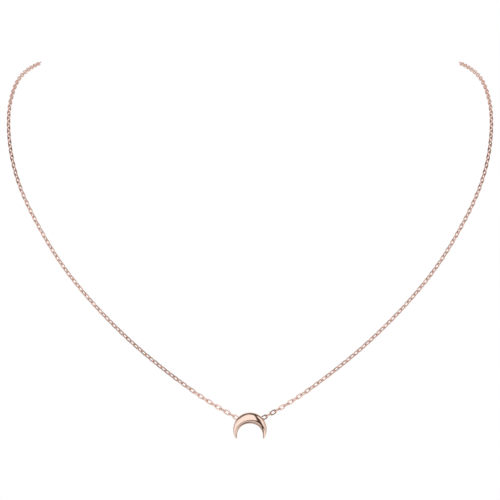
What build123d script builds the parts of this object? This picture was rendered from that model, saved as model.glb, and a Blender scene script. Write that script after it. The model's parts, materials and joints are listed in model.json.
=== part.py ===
"""Fine pendant necklace: a crescent pendant set in line on an oval cable chain, closed by a lobster clasp.

Millimetres. +X is the wearer's left-right width, +Y runs from the chest to the nape, +Z is up.
The origin lies midway between the two places where the chain crosses the sides of the neck.
The necklace is built as it is worn: the two strands mirror each other about X = 0.
"""

import os
from math import cos, radians, sin, sqrt

from build123d import *

os.makedirs("parts", exist_ok=True)

# ---------------------------------------------------------------- driving dimensions
# chain
wire = 0.32  # wire the links are bent from
link_thick = 0.25  # the links are rolled flat to this
link_inner_width = 0.55
link_play = 0.015  # gap left between two neighbouring links
links_per_side = 165
links_in_node = (14, 14, 14, 14, 14, 14, 14, 14, 11, 14, 14, 14)  # from the pendant to the clasp
# degrees that the flat of a link leans from the skin; neighbours lean to opposite sides
first_lean = (4.0, -80.0)
settled_lean = (45.0, -45.0)
links_to_settle = 16  # from either end of the strand

# the line one strand follows, from the pendant over the side of the neck to the clasp
strand_points = (
    (2.82, -83.40, -93.88),
    (10.2, -80.8, -89.7),
    (17.6, -78.3, -84.7),
    (25.8, -75.6, -78.4),
    (33.5, -72.5, -71.6),
    (41.4, -68.8, -63.5),
    (48.5, -64.5, -54.7),
    (54.3, -59.3, -45.6),
    (58.6, -53.8, -37.5),
    (61.3, -48.3, -30.5),
    (63.6, -37.5, -19.0),
    (63.8, -31.3, -13.8),
    (63.3, -24.8, -9.3),
    (62.1, -17.9, -5.4),
    (60.1, -10.6, -2.6),
    (56.9, 0.0, 0.0),
    (51.4, 12.4, 2.4),
    (41.2, 22.8, 4.3),
    (28.0, 28.8, 5.5),
    (14.0, 31.2, 6.0),
    (5.98, 31.5, 6.0),
)
crest_share = 0.70  # how far along the strand the side of the neck lies

# crescent pendant: the area between two circles, domed in front, and bowed so that its tips lie further back
crescent_outer_r = 4.18
crescent_inner_r = 3.245
crescent_drop = 1.86  # inner circle's centre below the outer one's
crescent_centre_z = -96.32
crescent_depth = 1.25  # at the thickest place
crescent_tip_depth = 0.40
crescent_tip_width = 0.24
crescent_bow_r = 9.0
crescent_half_sections = 7

# the two loops soldered to the crescent's back
loop_wire = 0.30
loop_r = 0.50  # to the middle of the wire
loop_leg = 0.75  # cut off where it meets the crescent's back
link_stand_off = 0.37  # from the crescent's back to the first link's wire

# lobster clasp, drawn flat: its length along X, its width along Z, its thickness along Y
clasp_y = 31.5
clasp_z = 6.0
clasp_start = -4.87  # X of the clasp's own zero
clasp_thick = 1.30
eye_at = 0.90
eye_outer_r = 1.05
eye_hole_r = 0.55
shell_at = 5.30
shell_half_length = 4.00
shell_half_width = 2.10
mouth_at = 6.00
mouth_half_length = 2.45
mouth_half_width = 1.10
gate_from = 3.98
gate_to = 7.45
gate_lean = -0.45  # how much shorter the gate is at its outer edge
gate_gap = 0.08
pivot_u = 2.95
pivot_v = 1.05
pivot_pin_r = 0.25
heel_r = 0.62
heel_thick = 0.60
slot_thick = 0.70
slot_floor = -0.45

# spring under the gate
spring_wire = 0.12
spring_r = 0.20
spring_turns = 4
gate_underside = 0.42  # above the clasp's middle line, over the spring
spring_u = 3.25

# rings at the two ends of the chain
end_ring_r = 1.60
end_ring_wire = 0.50
end_ring_u = 9.66
tail_ring_r = 1.15
tail_ring_wire = 0.40
tail_ring_u = -0.315

# ---------------------------------------------------------------- the strand's line
with BuildLine() as strand:
    Spline(*strand_points, tangents=((0.83, 0.30, 0.47), (-1, 0, 0)))

strand_line = strand.edges()[0]
link_leg_offset = link_inner_width / 2 + wire / 2
strand_length = strand_line.length

# pitch and length of one link follow from the strand's length and the number of links
link_pitch = (strand_length - wire - link_play) / links_per_side
link_length = link_pitch + 2 * wire + link_play
link_straight = link_length - wire - 2 * link_leg_offset
first_link_at = (link_length - wire) / 2


def facing(share):
    """Direction that points away from the skin: forward at the pendant, up at the crest, back at the nape."""
    if share < crest_share:
        turn = radians(90 * (share / crest_share) ** 2)
    else:
        turn = radians(90 + 90 * (share - crest_share) / (1 - crest_share))
    return Vector(0, -cos(turn), sin(turn))


def link_lean(number):
    """Degrees by which the flat of a link leans from the skin."""
    settled = min(number, links_per_side - 1 - number, links_to_settle) / links_to_settle
    return first_lean[number % 2] * (1 - settled) + settled_lean[number % 2] * settled


def link_plane(number, side):
    """Plane of one link: X along the strand, Z square to the flat of the link. Side is 1 or -1."""
    distance = first_link_at + number * link_pitch
    middle = strand_line.position_at(distance, position_mode=PositionMode.LENGTH)
    along = strand_line.tangent_at(distance, position_mode=PositionMode.LENGTH)
    flat = facing(distance / strand_length)
    flat = (flat - along * flat.dot(along)).normalized()
    lean = radians(link_lean(number))
    flat = flat * cos(lean) + along.cross(flat) * sin(lean)
    return Plane(
        origin=(side * middle.X, middle.Y, middle.Z),
        x_dir=(side * along.X, along.Y, along.Z),
        z_dir=(side * flat.X, flat.Y, flat.Z),
    )


# ---------------------------------------------------------------- one link
with BuildPart() as link:
    with BuildSketch(Plane.YZ) as two_legs:
        with Locations((link_leg_offset, 0), (-link_leg_offset, 0)):
            Circle(wire / 2)
    extrude(amount=link_straight / 2, both=True)
    with BuildSketch(Plane.YZ.offset(link_straight / 2)) as one_leg:
        with Locations((link_leg_offset, 0)):
            Circle(wire / 2)
    revolve(axis=Axis((link_straight / 2, 0, 0), (0, 0, -1)), revolution_arc=180)
    mirror(about=Plane.YZ)
    Box(2 * link_length, 2 * link_length, link_thick, mode=Mode.INTERSECT)

# ---------------------------------------------------------------- the chain
for side, side_name in ((1, "right"), (-1, "left")):
    first = 0
    for node_number, count in enumerate(links_in_node, start=1):
        places = [link_plane(number, side).location for number in range(first, first + count)]
        with BuildPart() as chain_piece:
            with Locations(*places):
                add(link.part)
        name = f"chain_{side_name}_{node_number:02d}"
        chain_piece.part.label = name
        export_step(chain_piece.part, f"parts/{name}.step")
        first += count

# ---------------------------------------------------------------- crescent
def bow_back(x):
    """How far back the bow puts a place this far from the middle."""
    return x**2 / (2 * crescent_bow_r)


# the crescent's back at its middle, so that the first link's wire clears it where the loop stands
back_y = strand_points[0][1] - link_stand_off - bow_back(strand_points[0][0])


def inner_reach(turn):
    """Distance from the outer circle's centre to the inner circle, in a direction turned from straight up."""
    lift = crescent_drop * cos(turn)
    return -lift + sqrt(lift**2 - crescent_drop**2 + crescent_inner_r**2)


def crescent_section(turn):
    """Plane, width and depth of the crescent's cross-section in a direction turned from straight up."""
    reach = inner_reach(turn)
    width = crescent_outer_r - reach
    swell = (width / (crescent_outer_r - inner_reach(0))) ** 0.75
    depth = crescent_tip_depth + (crescent_depth - crescent_tip_depth) * swell
    x = (reach + width / 2) * sin(turn)
    z = crescent_centre_z + (reach + width / 2) * cos(turn)
    tilt = x / crescent_bow_r
    outward = Vector(sin(turn) * cos(tilt), sin(turn) * sin(tilt), cos(turn))
    forward = Vector(sin(tilt), -cos(tilt), 0)
    plane = Plane(origin=(x, back_y + bow_back(x), z), x_dir=outward, z_dir=outward.cross(forward))
    return plane, width, depth


# the turn at which the crescent has narrowed to the width of its tip
tip_turn = 90.0
while crescent_outer_r - inner_reach(radians(tip_turn)) > crescent_tip_width:
    tip_turn += 0.1

with BuildPart() as crescent:
    for station in range(-crescent_half_sections, crescent_half_sections + 1):
        section_plane, width, depth = crescent_section(radians(tip_turn * station / crescent_half_sections))
        with BuildSketch(section_plane) as section:
            with BuildLine():
                EllipticalCenterArc((0, 0), width / 2, depth, start_angle=0, arc_size=180)
                Line((-width / 2, 0), (width / 2, 0))
            make_face()
    loft()
crescent.part.label = "crescent"
export_step(crescent.part, "parts/crescent.step")

# ---------------------------------------------------------------- loops on the crescent's back
for side, side_name in ((1, "right"), (-1, "left")):
    start = Vector(side * strand_points[0][0], strand_points[0][1], strand_points[0][2])
    chain_way = Vector(side * 0.83, 0.30, 0.47).normalized()
    tilt = side * strand_points[0][0] / crescent_bow_r
    backward = Vector(-sin(tilt), cos(tilt), 0)
    across = chain_way.cross(backward).normalized()
    backward = across.cross(chain_way)
    wire_reach = loop_r - loop_wire / 2 - wire / 2 - link_play
    top_plane = Plane(origin=start - chain_way * wire_reach, x_dir=chain_way, z_dir=backward)
    with BuildPart() as back_loop:
        with BuildSketch(top_plane) as feet:
            with Locations((loop_r, 0), (-loop_r, 0)):
                Circle(loop_wire / 2)
        extrude(amount=-loop_leg)
        with BuildSketch(top_plane) as shoulder:
            with Locations((loop_r, 0)):
                Circle(loop_wire / 2)
        revolve(axis=Axis(top_plane.origin, -top_plane.y_dir), revolution_arc=180)
        # the legs end on the crescent's back
        add(crescent.part, mode=Mode.SUBTRACT)
    name = f"{side_name}_back_loop"
    back_loop.part.label = name
    export_step(back_loop.part, f"parts/{name}.step")

# ---------------------------------------------------------------- lobster clasp
# the clasp's own plane: its length is the plane's X, its width the plane's Y
clasp_plane = Plane(origin=(clasp_start, clasp_y, clasp_z), x_dir=(1, 0, 0), z_dir=(0, -1, 0))

with BuildPart() as clasp_body:
    with BuildSketch(clasp_plane) as shell:
        with Locations((shell_at, 0)):
            Ellipse(shell_half_length, shell_half_width)
        with Locations((eye_at, 0)):
            Circle(eye_outer_r)
            Circle(eye_hole_r, mode=Mode.SUBTRACT)
        with Locations((mouth_at, 0)):
            Ellipse(mouth_half_length, mouth_half_width, mode=Mode.SUBTRACT)
    extrude(amount=clasp_thick / 2, both=True)
    fillet(clasp_body.edges().filter_by(GeomType.ELLIPSE), radius=0.28)
    # the gap that the gate closes
    with BuildSketch(clasp_plane) as gap:
        with BuildLine():
            Polyline(
                (gate_from - gate_gap, 0.2),
                (gate_to, 0.2),
                (gate_to, 0.9),
                (gate_to + gate_lean, 2.6),
                (gate_from - gate_gap, 2.6),
                close=True,
            )
        make_face()
    extrude(amount=clasp_thick, both=True, mode=Mode.SUBTRACT)
    # the slot that takes the gate's heel and the spring
    with BuildSketch(clasp_plane) as slot:
        with Locations((pivot_u, pivot_v)):
            Circle(heel_r + 0.10)
        with BuildLine():
            Polyline(
                (pivot_u, slot_floor),
                (gate_from, slot_floor),
                (gate_from, 2.6),
                (pivot_u, 2.6),
                close=True,
            )
        make_face()
    extrude(amount=slot_thick / 2, both=True, mode=Mode.SUBTRACT)
    with BuildSketch(clasp_plane) as pin_hole:
        with Locations((pivot_u, pivot_v)):
            Circle(pivot_pin_r)
    extrude(amount=clasp_thick, both=True, mode=Mode.SUBTRACT)
clasp_body.part.label = "clasp_body"
export_step(clasp_body.part, "parts/clasp_body.step")

with BuildPart() as clasp_gate:
    with BuildSketch(clasp_plane) as gate_bow:
        with Locations((shell_at, 0)):
            Ellipse(shell_half_length, shell_half_width)
        with Locations((mouth_at, 0)):
            Ellipse(mouth_half_length, mouth_half_width, mode=Mode.SUBTRACT)
    extrude(amount=clasp_thick / 2, both=True)
    fillet(clasp_gate.edges().filter_by(GeomType.ELLIPSE), radius=0.28)
    with BuildSketch(clasp_plane) as gate_reach:
        with BuildLine():
            Polyline(
                (gate_from, 0.35),
                (gate_to - gate_gap, 0.35),
                (gate_to - gate_gap, 0.9),
                (gate_to + gate_lean - gate_gap, 2.6),
                (gate_from, 2.6),
                close=True,
            )
        make_face()
    extrude(amount=clasp_thick, both=True, mode=Mode.INTERSECT)
    # the heel in the slot
    with BuildSketch(clasp_plane) as heel:
        with Locations((pivot_u, pivot_v)):
            Circle(heel_r)
        with BuildLine():
            Polyline(
                (pivot_u, pivot_v - heel_r),
                (gate_from + 0.5, 0.80),
                (gate_from + 0.5, 1.75),
                (pivot_u, pivot_v + heel_r),
                close=True,
            )
        make_face()
        with Locations((pivot_u, pivot_v)):
            Circle(pivot_pin_r + 0.03, mode=Mode.SUBTRACT)
    extrude(amount=heel_thick / 2, both=True)
    # the tab pressed with a fingernail
    with BuildSketch(clasp_plane) as tab:
        with Locations(Location((gate_from + 0.75, 2.12), 20)):
            RectangleRounded(0.85, 0.95, 0.25)
    extrude(amount=clasp_thick * 0.32, both=True)
clasp_gate.part.label = "clasp_gate"
export_step(clasp_gate.part, "parts/clasp_gate.step")

with BuildPart() as clasp_pin:
    with BuildSketch(clasp_plane) as pin_section:
        with Locations((pivot_u, pivot_v)):
            Circle(pivot_pin_r)
    extrude(amount=clasp_thick / 2, both=True)
clasp_pin.part.label = "clasp_pin"
export_step(clasp_pin.part, "parts/clasp_pin.step")

# a coil that stands on the slot's floor and pushes the gate out
spring_foot = clasp_plane.from_local_coords(Vector(spring_u, slot_floor + spring_wire / 2, 0))
spring_height = gate_underside - slot_floor - spring_wire - 0.04
with BuildPart() as clasp_spring:
    with BuildLine(Plane(origin=spring_foot, x_dir=(1, 0, 0), z_dir=(0, 0, 1))) as coil:
        Helix(spring_height / spring_turns, spring_height, spring_r)
    with BuildSketch(Plane(origin=coil.line @ 0, z_dir=coil.line % 0)) as coil_section:
        Circle(spring_wire / 2)
    sweep(is_frenet=True)
clasp_spring.part.label = "clasp_spring"
export_step(clasp_spring.part, "parts/clasp_spring.step")

# ---------------------------------------------------------------- rings
ring_table = (
    ("end_ring", end_ring_u, end_ring_r, end_ring_wire),
    ("tail_ring", tail_ring_u, tail_ring_r, tail_ring_wire),
)
for name, ring_u, ring_r, ring_wire in ring_table:
    ring_middle = clasp_plane.from_local_coords(Vector(ring_u, 0, 0))
    with BuildPart() as ring:
        with Locations(ring_middle):
            Torus(ring_r, ring_wire / 2)
    ring.part.label = name
    export_step(ring.part, f"parts/{name}.step")
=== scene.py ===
"""Looks of the pendant necklace: fine chain links, a mirror-polished crescent, and a white photo studio.

Every chain link, ring and the crescent are made afresh where the CAD solids lie. The loops behind the
crescent and the clasp's parts are the CAD solids with their own finish.
"""

import json
import math

import bpy
import numpy as np
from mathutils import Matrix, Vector


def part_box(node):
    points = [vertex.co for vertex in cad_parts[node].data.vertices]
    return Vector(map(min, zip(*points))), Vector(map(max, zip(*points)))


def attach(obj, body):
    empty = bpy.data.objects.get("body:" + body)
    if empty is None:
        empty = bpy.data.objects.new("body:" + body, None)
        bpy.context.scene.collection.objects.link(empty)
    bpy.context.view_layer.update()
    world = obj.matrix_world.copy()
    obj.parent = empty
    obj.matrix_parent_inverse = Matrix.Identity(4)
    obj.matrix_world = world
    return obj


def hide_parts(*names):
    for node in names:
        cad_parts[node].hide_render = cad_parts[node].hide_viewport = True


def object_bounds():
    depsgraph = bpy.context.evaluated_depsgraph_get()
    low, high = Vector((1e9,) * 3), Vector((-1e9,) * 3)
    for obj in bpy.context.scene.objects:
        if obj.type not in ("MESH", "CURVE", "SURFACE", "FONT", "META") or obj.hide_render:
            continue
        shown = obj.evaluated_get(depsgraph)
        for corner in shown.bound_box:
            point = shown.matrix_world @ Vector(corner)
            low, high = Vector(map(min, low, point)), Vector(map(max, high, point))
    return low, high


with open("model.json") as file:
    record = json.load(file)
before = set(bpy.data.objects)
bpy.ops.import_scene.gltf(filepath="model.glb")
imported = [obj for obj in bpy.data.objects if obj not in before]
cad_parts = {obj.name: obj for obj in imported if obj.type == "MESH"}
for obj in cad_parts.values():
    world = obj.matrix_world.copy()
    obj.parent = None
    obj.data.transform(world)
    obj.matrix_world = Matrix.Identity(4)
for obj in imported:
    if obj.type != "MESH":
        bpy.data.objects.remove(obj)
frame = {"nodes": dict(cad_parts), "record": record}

CAD_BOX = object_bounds()

# ---------------------------------------------------------------- sizes, in metres
LINK_WIRE = 0.00032  # before it is rolled flat
LINK_AROUND = 16  # points round the wire
LINK_BEND_STEPS = 10  # steps round each half of a link
LINK_SHARP = 28  # degrees; the edges of the rolled flats stay crisp
RING_AROUND = 16  # points round the wire
RING_STEPS = 64  # steps round the ring
CAD_SHARP = 35  # degrees
SAME_PLACE_DECIMALS = 7  # corners that agree to this many decimals of a metre are one

CRESCENT_OUTER_R = 0.00418
CRESCENT_INNER_R = 0.003245
CRESCENT_DROP = 0.00186  # inner circle's centre below the outer one's
CRESCENT_DEPTH = 0.00125  # at the top, where it is widest
CRESCENT_TIP_DEPTH = 0.00035
CRESCENT_TIP_WIDTH = 0.00022
CRESCENT_BOW_R = 0.009  # the tips lie further back than the middle
CRESCENT_TAPER = 0.75  # how the depth falls with the width, 1 being straight
CRESCENT_STATIONS = 160  # steps from tip to tip
CRESCENT_DOME_STEPS = 40  # over the dome of one section
CRESCENT_BACK_STEPS = 6  # across its flat back
CRESCENT_SHARP = 50  # degrees
TIP_SEARCH_STEP = 0.001  # radians

CAMERA_DISTANCE = 0.850  # from the crescent
CAMERA_BELOW_CREST = 0.0516
PICTURE_WIDTH_THERE = 0.125  # what the frame takes in at that distance
SENSOR_MM = 36.0
NEAREST_SEEN = 0.1
CLIP_BEFORE_CREST = 0.0022
FLOOR_BELOW = 0.030
FLOOR_HALF_SIZE = 3.0
FLOOR_LIGHT = 1.85
FLOOR_LIGHT_SPREAD = 60  # degrees

# detail of the polished metal
WEAR_SCALE = 900.0  # cloudy patches to the metre
LINE_SCALE = 2500.0  # polishing lines to the metre
LINE_STRETCH = (1.0, 1.0, 12.0)
LINE_DEPTH = 0.00001

# the studio round the necklace
ROOM_COLOUR = (0.44, 0.39, 0.37)
DARK = (0.09, 0.06, 0.045)
# patches of it, each over the last:
# (direction, degrees inside which it is full, degrees where it is gone, colour)
SOFT_LIGHTS = (
    ((0.97, -0.26, 0), 30, 60, (0.64, 0.58, 0.55)),
    ((-0.97, -0.10, 0), 20, 42, (0.90, 0.85, 0.83)),
    ((0.72, 0.26, -0.64), 18, 38, (0.86, 0.82, 0.80)),
    ((0.43, 0.25, 0.87), 33, 47, DARK),
    ((-0.55, 0.38, 0.74), 25, 44, (0.16, 0.11, 0.09)),
    ((0, 1, 0.3), 37, 57, (0.84, 0.78, 0.76)),
    ((0, -1, 0.05), 50, 76, (1.05, 1.02, 1.0)),  # the big one, in front
    ((0.785, -0.37, 0.50), 14, 30, (1.02, 1.0, 0.98)),
    ((0.475, 0.82, -0.31), 14, 30, (0.98, 0.93, 0.91)),
)
# dark strips over them: (normal, how far along it, half width, the strip's middle, its reach in degrees)
DARK_GAPS = (
    ((0.825, 0.50, -0.26), 0.0, 0.14, (0.58, -0.69, 0.42), 50),
    ((0.58, 0.69, -0.43), -0.21, 0.10, (0.30, -0.85, -0.45), 62),
    ((0.58, 0.69, -0.43), -0.21, 0.14, (-0.85, 0.10, -0.50), 50),
    ((-0.47, 0.88, 0), 0.0, 0.16, (0.62, 0.33, -0.71), 50),
)

STRIP_EDGE = (1.4, 0.6)  # half widths where a strip starts and where it is full
STRIP_END = 0.85  # share of its reach where a strip starts to fade

BODY_OF = {node: body for body, nodes in frame["record"]["behaviour"]["bodies"].items() for node in nodes}


# ---------------------------------------------------------------- mesh helpers
def new_object(name, vertices, faces, material, smooth=True):
    """A mesh object of one material, put into the scene."""
    mesh = bpy.data.meshes.new(name)
    mesh.from_pydata([tuple(v) for v in vertices], [], [tuple(f) for f in faces])
    mesh.validate()
    mesh.polygons.foreach_set("use_smooth", [smooth] * len(mesh.polygons))
    mesh.materials.append(material)
    obj = bpy.data.objects.new(name, mesh)
    bpy.context.scene.collection.objects.link(obj)
    return obj


def stand_for(obj, node):
    """obj takes the place of a CAD node, on the node's own body."""
    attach(obj, BODY_OF[node])
    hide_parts(node)


def tube(path, ups, radius, around, flat=1.0):
    """Vertices and faces of a wire round a closed path.

    ups are square to the path, and flat < 1 flattens the wire along them.
    """
    path, ups = np.asarray(path, float), np.asarray(ups, float)
    count = len(path)
    ahead = np.roll(path, -1, 0) - np.roll(path, 1, 0)
    ahead /= np.linalg.norm(ahead, axis=1)[:, None]
    ups = ups - ahead * (ups * ahead).sum(1)[:, None]
    ups /= np.linalg.norm(ups, axis=1)[:, None]
    sides = np.cross(ahead, ups)
    turn = (np.arange(around) + 0.5) * 2 * math.pi / around
    rise = np.clip(np.cos(turn), -flat, flat)
    ring = rise[None, :, None] * ups[:, None] + np.sin(turn)[None, :, None] * sides[:, None]
    vertices = (path[:, None] + radius * ring).reshape(-1, 3)
    faces = []
    for i in range(count):
        here, there = i * around, (i + 1) % count * around
        for j in range(around):
            k = (j + 1) % around
            faces.append((here + j, here + k, there + k, there + j))
    return vertices, faces


def separate_solids(node):
    """The solids of a CAD node, each as the corner points of its triangles."""
    mesh = frame["nodes"][node].data
    places = np.empty(len(mesh.vertices) * 3)
    mesh.vertices.foreach_get("co", places)
    places = places.reshape(-1, 3)
    mesh.calc_loop_triangles()
    triangles = np.array([t.vertices[:] for t in mesh.loop_triangles])
    # corners at the same place are one, and each solid takes the lowest number among its corners
    _, same = np.unique(np.round(places, SAME_PLACE_DECIMALS), axis=0, return_inverse=True)
    same = same.reshape(-1)
    joined = same[triangles]
    label = np.arange(same.max() + 1)
    changed = True
    while changed:
        low = label[joined].min(1)
        before = label.copy()
        for corner in range(3):
            np.minimum.at(label, joined[:, corner], low)
        label = label[label]
        changed = not np.array_equal(before, label)
    owner = label[joined[:, 0]]
    return [places[triangles[owner == one]] for one in np.unique(owner)]


def principal_frame(corners):
    """Centre, axes (longest first) and half lengths of a solid given by its triangles' corners."""
    middles = corners.mean(1)
    cross = np.cross(corners[:, 1] - corners[:, 0], corners[:, 2] - corners[:, 0])
    areas = np.linalg.norm(cross, axis=1)
    centre = (middles * areas[:, None]).sum(0) / areas.sum()
    spread = ((middles - centre) * areas[:, None]).T @ (middles - centre)
    _, axes = np.linalg.eigh(spread)
    axes = axes[:, ::-1].T
    reach = (corners.reshape(-1, 3) - centre) @ axes.T
    centre = centre + ((reach.max(0) + reach.min(0)) / 2) @ axes
    return centre, axes, (reach.max(0) - reach.min(0)) / 2


# ---------------------------------------------------------------- materials
def node_maker(material):
    """Functions that make a node in a material and link two sockets."""
    tree = material.node_tree

    def make(kind, **values):
        node = tree.nodes.new(kind)
        for key, value in values.items():
            if key in node.inputs:
                node.inputs[key].default_value = value
            else:
                setattr(node, key, value)
        return node

    return make, tree.links.new


def polished_metal(name, light, deep, rough_low, rough_high, scratch):
    """Polished metal with faint cloudy wear and fine polishing lines."""
    material = bpy.data.materials.new(name)
    material.use_nodes = True
    make, link = node_maker(material)
    shader = material.node_tree.nodes["Principled BSDF"]
    shader.inputs["Metallic"].default_value = 1.0
    place = make("ShaderNodeTexCoord")
    cloud = make("ShaderNodeTexNoise", Scale=WEAR_SCALE, Detail=3.0)
    link(place.outputs["Object"], cloud.inputs["Vector"])
    tint = make("ShaderNodeMix", data_type="RGBA")
    tint.inputs["A"].default_value = (*deep, 1)
    tint.inputs["B"].default_value = (*light, 1)
    link(cloud.outputs["Fac"], tint.inputs["Factor"])
    link(tint.outputs["Result"], shader.inputs["Base Color"])
    wear = make("ShaderNodeMapRange")
    wear.inputs["From Min"].default_value = 0.3
    wear.inputs["From Max"].default_value = 0.7
    wear.inputs["To Min"].default_value = rough_low
    wear.inputs["To Max"].default_value = rough_high
    link(cloud.outputs["Fac"], wear.inputs["Value"])
    link(wear.outputs["Result"], shader.inputs["Roughness"])
    stretch = make("ShaderNodeMapping")
    stretch.inputs["Scale"].default_value = LINE_STRETCH
    link(place.outputs["Object"], stretch.inputs["Vector"])
    lines = make("ShaderNodeTexNoise", Scale=LINE_SCALE, Detail=2.0)
    link(stretch.outputs["Vector"], lines.inputs["Vector"])
    bump = make("ShaderNodeBump", Strength=scratch, Distance=LINE_DEPTH)
    link(lines.outputs["Fac"], bump.inputs["Height"])
    link(bump.outputs["Normal"], shader.inputs["Normal"])
    return material


def floor_material():
    """A pale matt floor, very slightly uneven in tone."""
    material = bpy.data.materials.new("studio_floor")
    material.use_nodes = True
    make, link = node_maker(material)
    shader = material.node_tree.nodes["Principled BSDF"]
    shader.inputs["Roughness"].default_value = 0.6
    cloud = make("ShaderNodeTexNoise", Scale=4.0, Detail=2.0)
    ramp = make("ShaderNodeValToRGB")
    ramp.color_ramp.elements[0].color = (0.86, 0.86, 0.86, 1)
    ramp.color_ramp.elements[1].color = (0.90, 0.90, 0.89, 1)
    link(cloud.outputs["Fac"], ramp.inputs["Fac"])
    link(ramp.outputs["Color"], shader.inputs["Base Color"])
    return material


CHAIN_GOLD = polished_metal("chain_rose_gold", (0.93, 0.71, 0.63), (0.88, 0.62, 0.54), 0.08, 0.15, 0.05)
PENDANT_GOLD = polished_metal("pendant_rose_gold", (0.98, 0.78, 0.68), (0.95, 0.74, 0.64), 0.05, 0.10, 0.03)
SPRING_STEEL = polished_metal("spring_steel", (0.66, 0.66, 0.67), (0.54, 0.54, 0.56), 0.18, 0.30, 0.05)


# ---------------------------------------------------------------- chain
def link_mesh(centre, axes, half):
    """A link of flattened wire, where a CAD link lies."""
    bend = half[1] - LINK_WIRE / 2
    straight = half[0] - half[1]
    turns = [math.pi * i / LINK_BEND_STEPS for i in range(LINK_BEND_STEPS + 1)]
    flat = [(straight + bend * math.sin(t), bend * math.cos(t)) for t in turns]
    flat += [(0.0, -bend)]
    flat += [(-straight - bend * math.sin(t), -bend * math.cos(t)) for t in turns]
    flat += [(0.0, bend)]
    path = [centre + x * axes[0] + y * axes[1] for x, y in flat]
    return tube(path, [axes[2]] * len(path), LINK_WIRE / 2, LINK_AROUND, flat=2 * half[2] / LINK_WIRE)


def make_chain():
    """One object of links for each CAD group of links."""
    for node in sorted(n for n in frame["nodes"] if n.startswith("chain_")):
        vertices, faces = [], []
        for corners in separate_solids(node):
            more, sides = link_mesh(*principal_frame(corners))
            faces += [tuple(len(vertices) + i for i in side) for side in sides]
            vertices += list(more)
        links = new_object(f"links_{node}", vertices, faces, CHAIN_GOLD)
        links.data.set_sharp_from_angle(angle=math.radians(LINK_SHARP))
        stand_for(links, node)


# ---------------------------------------------------------------- crescent
def make_crescent():
    """The dome between two circles, with a flat back, bent so that its tips lie further back."""
    low, high = (np.array(corner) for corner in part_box("crescent"))
    middle = np.array([(low[0] + high[0]) / 2, low[1] + CRESCENT_DEPTH, high[2] - CRESCENT_OUTER_R])

    def inner_reach(turn):
        lift = CRESCENT_DROP * math.cos(turn)
        return -lift + math.sqrt(lift**2 - CRESCENT_DROP**2 + CRESCENT_INNER_R**2)

    tip_turn = math.pi / 2
    while CRESCENT_OUTER_R - inner_reach(tip_turn) > CRESCENT_TIP_WIDTH:
        tip_turn += TIP_SEARCH_STEP
    widest = CRESCENT_OUTER_R - inner_reach(0)
    vertices, faces = [], []
    row = CRESCENT_DOME_STEPS + CRESCENT_BACK_STEPS  # points round one section
    for station in range(CRESCENT_STATIONS + 1):
        turn = tip_turn * (2 * station / CRESCENT_STATIONS - 1)
        reach = inner_reach(turn)
        width = CRESCENT_OUTER_R - reach
        swell = (width / widest) ** CRESCENT_TAPER
        depth = CRESCENT_TIP_DEPTH + (CRESCENT_DEPTH - CRESCENT_TIP_DEPTH) * swell
        x = (reach + width / 2) * math.sin(turn)
        tilt = x / CRESCENT_BOW_R
        outward = np.array([math.sin(turn) * math.cos(tilt), math.sin(turn) * math.sin(tilt), math.cos(turn)])
        forward = np.array([math.sin(tilt), -math.cos(tilt), 0])
        base = middle + np.array([x, x**2 / (2 * CRESCENT_BOW_R), (reach + width / 2) * math.cos(turn)])
        for step in range(CRESCENT_DOME_STEPS + 1):
            around = math.pi * step / CRESCENT_DOME_STEPS
            foot = base + outward * math.cos(around) * width / 2
            vertices.append(foot + forward * depth * math.sin(around))
        for step in range(1, CRESCENT_BACK_STEPS):
            vertices.append(base + outward * width / 2 * (-1 + 2 * step / CRESCENT_BACK_STEPS))
    for station in range(CRESCENT_STATIONS):
        for i in range(row):
            j = (i + 1) % row
            here, there = station * row, (station + 1) * row
            faces.append((here + i, here + j, there + j, there + i))
    faces.append(tuple(range(row))[::-1])
    faces.append(tuple(CRESCENT_STATIONS * row + i for i in range(row)))
    crescent = new_object("polished_crescent", vertices, faces, PENDANT_GOLD)
    crescent.data.set_sharp_from_angle(angle=math.radians(CRESCENT_SHARP))
    stand_for(crescent, "crescent")


# ---------------------------------------------------------------- loops, rings and clasp
def make_ring(node):
    """A round ring where the CAD ring lies."""
    centre, axes, half = principal_frame(np.concatenate(separate_solids(node)))
    wire = half[2]
    turns = [2 * math.pi * i / RING_STEPS for i in range(RING_STEPS)]
    path = [centre + (half[0] - wire) * (math.cos(t) * axes[0] + math.sin(t) * axes[1]) for t in turns]
    vertices, faces = tube(path, [axes[2]] * len(path), wire, RING_AROUND)
    stand_for(new_object(f"round_{node}", vertices, faces, CHAIN_GOLD), node)


def finish_cad_node(node, material):
    """A CAD node shown as it is, with its own finish."""
    obj = frame["nodes"][node]
    obj.data.materials.clear()
    obj.data.materials.append(material)
    obj.data.polygons.foreach_set("use_smooth", [True] * len(obj.data.polygons))
    obj.data.set_sharp_from_angle(angle=math.radians(CAD_SHARP))


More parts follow.
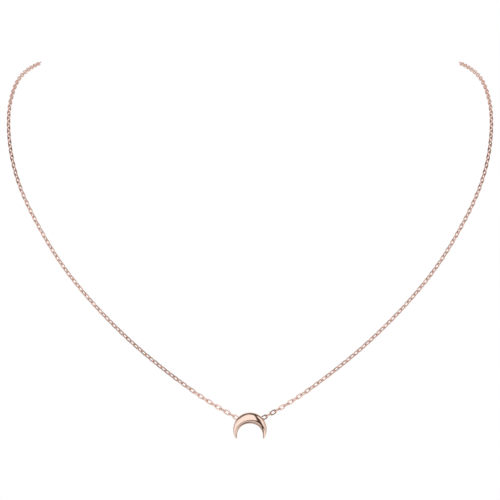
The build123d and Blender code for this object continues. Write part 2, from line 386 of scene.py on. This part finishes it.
# ---------------------------------------------------------------- studio
def make_world():
    """A dim room with soft lights round the necklace. The camera itself sees a white background."""
    world = bpy.data.worlds.new("studio")
    bpy.context.scene.world = world
    world.use_nodes = True
    tree = world.node_tree
    link = tree.links.new
    place = tree.nodes.new("ShaderNodeTexCoord")

    def toward(direction):
        dot = tree.nodes.new("ShaderNodeVectorMath")
        dot.operation = "DOT_PRODUCT"
        dot.inputs[1].default_value = Vector(direction).normalized()
        link(place.outputs["Generated"], dot.inputs[0])
        return dot.outputs["Value"]

    def ramp_between(value, nothing_at, full_at):
        step = tree.nodes.new("ShaderNodeMapRange")
        step.interpolation_type = "SMOOTHSTEP"
        step.inputs["From Min"].default_value = nothing_at
        step.inputs["From Max"].default_value = full_at
        link(value, step.inputs["Value"])
        return step.outputs["Result"]

    def math_node(operation, first, second=None):
        node = tree.nodes.new("ShaderNodeMath")
        node.operation = operation
        link(first, node.inputs[0])
        if isinstance(second, float):
            node.inputs[1].default_value = second
        elif second is not None:
            link(second, node.inputs[1])
        return node.outputs["Value"]

    def over(below, factor, colour):
        mix = tree.nodes.new("ShaderNodeMix")
        mix.data_type = "RGBA"
        mix.inputs["B"].default_value = (*colour, 1)
        link(factor, mix.inputs["Factor"])
        if isinstance(below, tuple):
            mix.inputs["A"].default_value = (*below, 1)
        else:
            link(below, mix.inputs["A"])
        return mix.outputs["Result"]

    light = ROOM_COLOUR
    for direction, full_degrees, none_degrees, colour in SOFT_LIGHTS:
        nothing_at, full_at = (math.cos(math.radians(a)) for a in (none_degrees, full_degrees))
        light = over(light, ramp_between(toward(direction), nothing_at, full_at), colour)
    for normal, along, half_width, middle, reach in DARK_GAPS:
        off_middle = math_node("ABSOLUTE", math_node("SUBTRACT", toward(normal), along))
        across = ramp_between(off_middle, *(half_width * share for share in STRIP_EDGE))
        ends = (math.cos(math.radians(a)) for a in (reach, reach * STRIP_END))
        light = over(light, math_node("MULTIPLY", across, ramp_between(toward(middle), *ends)), DARK)
    studio = tree.nodes["Background"]
    link(light, studio.inputs["Color"])
    white = tree.nodes.new("ShaderNodeBackground")
    white.inputs["Color"].default_value = (1, 1, 1, 1)
    seen = tree.nodes.new("ShaderNodeLightPath")
    mix = tree.nodes.new("ShaderNodeMixShader")
    link(seen.outputs["Is Camera Ray"], mix.inputs["Fac"])
    link(studio.outputs["Background"], mix.inputs[1])
    link(white.outputs["Background"], mix.inputs[2])
    link(mix.outputs["Shader"], tree.nodes["World Output"].inputs["Surface"])


def make_floor():
    """A pale floor, and a light that is for the floor alone."""
    z = CAD_BOX[0][2] - FLOOR_BELOW
    half = FLOOR_HALF_SIZE
    corners = [(-half, -half, z), (half, -half, z), (half, half, z), (-half, half, z)]
    floor = new_object("floor", corners, [(0, 1, 2, 3)], floor_material(), smooth=False)
    floor.visible_glossy = False
    data = bpy.data.lights.new("floor_light", "SUN")
    data.energy = FLOOR_LIGHT
    data.angle = math.radians(FLOOR_LIGHT_SPREAD)
    light = bpy.data.objects.new("floor_light", data)
    bpy.context.scene.collection.objects.link(light)
    light.visible_glossy = False  # it brightens the floor and adds no glint to the gold


def make_camera():
    """A level camera in front of the crescent. It sees no further than the sides of the neck."""
    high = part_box("crescent")[1]
    data = bpy.data.cameras.new("camera")
    data.sensor_width = SENSOR_MM
    data.lens = data.sensor_width * CAMERA_DISTANCE / PICTURE_WIDTH_THERE
    camera = bpy.data.objects.new("camera", data)
    bpy.context.scene.collection.objects.link(camera)
    camera.location = (0, high[1] - CAMERA_DISTANCE, -CAMERA_BELOW_CREST)
    camera.rotation_euler = (math.pi / 2, 0, 0)
    data.clip_start = NEAREST_SEEN
    data.clip_end = -CLIP_BEFORE_CREST - camera.location.y
    bpy.context.scene.camera = camera


make_chain()
make_crescent()
for ring in ("tail_ring", "end_ring"):
    make_ring(ring)
for piece in ("right_back_loop", "left_back_loop", "clasp_body", "clasp_gate", "clasp_pin"):
    finish_cad_node(piece, CHAIN_GOLD)
finish_cad_node("clasp_spring", SPRING_STEEL)
make_world()
make_floor()
make_camera()
bpy.context.scene.view_settings.view_transform = "Standard"
